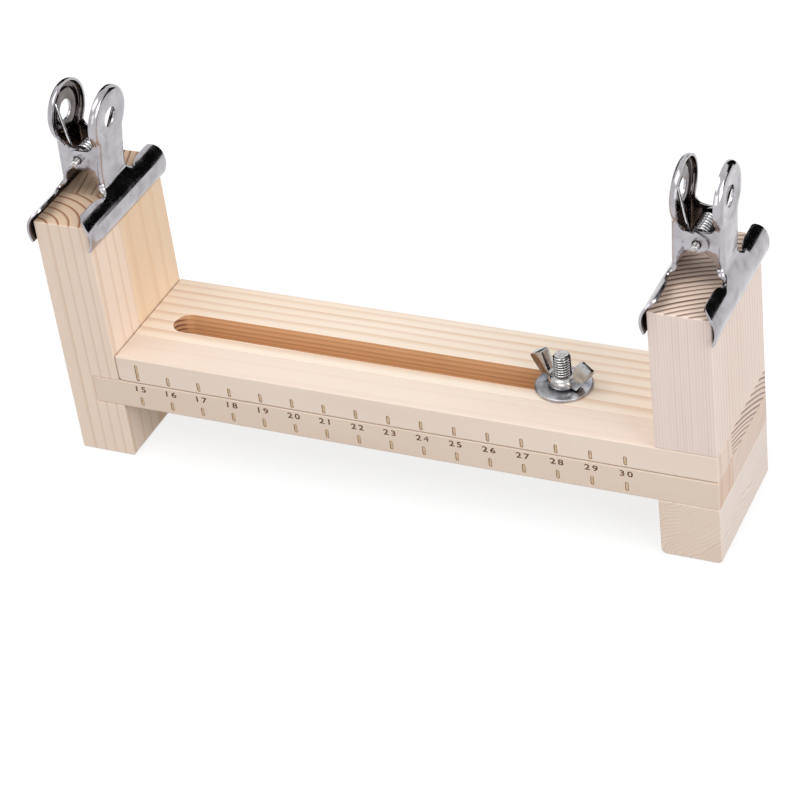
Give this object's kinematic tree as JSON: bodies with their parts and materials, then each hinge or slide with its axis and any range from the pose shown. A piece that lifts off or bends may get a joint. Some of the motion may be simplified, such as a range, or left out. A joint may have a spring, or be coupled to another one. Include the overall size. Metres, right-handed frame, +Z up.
{
  "type": "bracelet jig",
  "caption": "Wooden bracelet jig: a slotted board with a ruler slides on a lower board under a wing nut, and spring clips on end posts hold the cords.",
  "frame": {"origin": "middle of the footprint, on the table", "axes": "+X along the boards to the right, +Y to the back, +Z up"},
  "size_m": [0.2041, 0.045, 0.1143],
  "materials": {
    "post_pine": "bare planed pine",
    "foot_pine": "bare planed pine",
    "board_pine": "bare planed pine",
    "strip_wood": "bare fine pale wood",
    "plated_screw": "zinc plated",
    "zinc_bolt": "zinc plated",
    "dull_washer": "dull zinc plated",
    "zinc_nut": "zinc plated casting",
    "nickel_sheet": "bright nickel plate",
    "nickel_pin": "bright nickel plate",
    "spring_wire": "drawn wire"
  },
  "bodies": {
    "base": {"left_post": "post_pine", "lower_board": "board_pine", "lower_rule_strip": "strip_wood", "right_foot": "foot_pine", "foot_screws": "plated_screw", "clamp_bolt": "zinc_bolt"},
    "slide": {"upper_board": "board_pine", "upper_rule_strip": "strip_wood", "right_post": "post_pine", "right_post_screws": "plated_screw"},
    "washer": {"clamp_washer": "dull_washer"},
    "nut": {"wing_nut": "zinc_nut"},
    "left_clip": {"left_clip_left_jaw": "nickel_sheet", "left_clip_pin": "nickel_pin", "left_clip_spring": "spring_wire"},
    "left_clip_lever": {"left_clip_right_jaw": "nickel_sheet"},
    "right_clip": {"right_clip_left_jaw": "nickel_sheet", "right_clip_pin": "nickel_pin", "right_clip_spring": "spring_wire"},
    "right_clip_lever": {"right_clip_right_jaw": "nickel_sheet"}
  },
  "joints": [
    {"name": "board_slide", "type": "slide", "parent": "base", "child": "slide", "axis": [1, 0, 0], "range_m": [0, 0.12]},
    {"name": "washer_lift", "type": "slide", "parent": "base", "child": "washer", "axis": [0, 0, 1], "range_m": [0, 0.0024]},
    {"name": "nut_turn", "type": "hinge", "parent": "washer", "child": "nut", "pos_m": [0.04955, -0.001, 0.041], "axis": [0, 0, 1], "range_deg": [0, 1080]},
    {"name": "left_clip_lift", "type": "slide", "parent": "base", "child": "left_clip", "axis": [0, 0, 1], "range_m": [0, 0.03]},
    {"name": "left_clip_squeeze", "type": "hinge", "parent": "left_clip", "child": "left_clip_lever", "pos_m": [-0.09065, 0, 0.09318], "axis": [0, -1, 0], "range_deg": [0, 20], "stiffness_Nm_per_rad": 0.2, "springref_deg": -20.05, "deforming": ["left_clip_spring"]},
    {"name": "right_clip_lift", "type": "slide", "parent": "slide", "child": "right_clip", "axis": [0, 0, 1], "range_m": [0, 0.03]},
    {"name": "right_clip_squeeze", "type": "hinge", "parent": "right_clip", "child": "right_clip_lever", "pos_m": [0.09235, 0, 0.09318], "axis": [0, -1, 0], "range_deg": [0, 20], "stiffness_Nm_per_rad": 0.2, "springref_deg": -20.05, "deforming": ["right_clip_spring"]}
  ],
  "couplings": [
    {"joint": "nut_turn", "follows": "washer_lift", "rad_per_m": 7854}
  ]
}
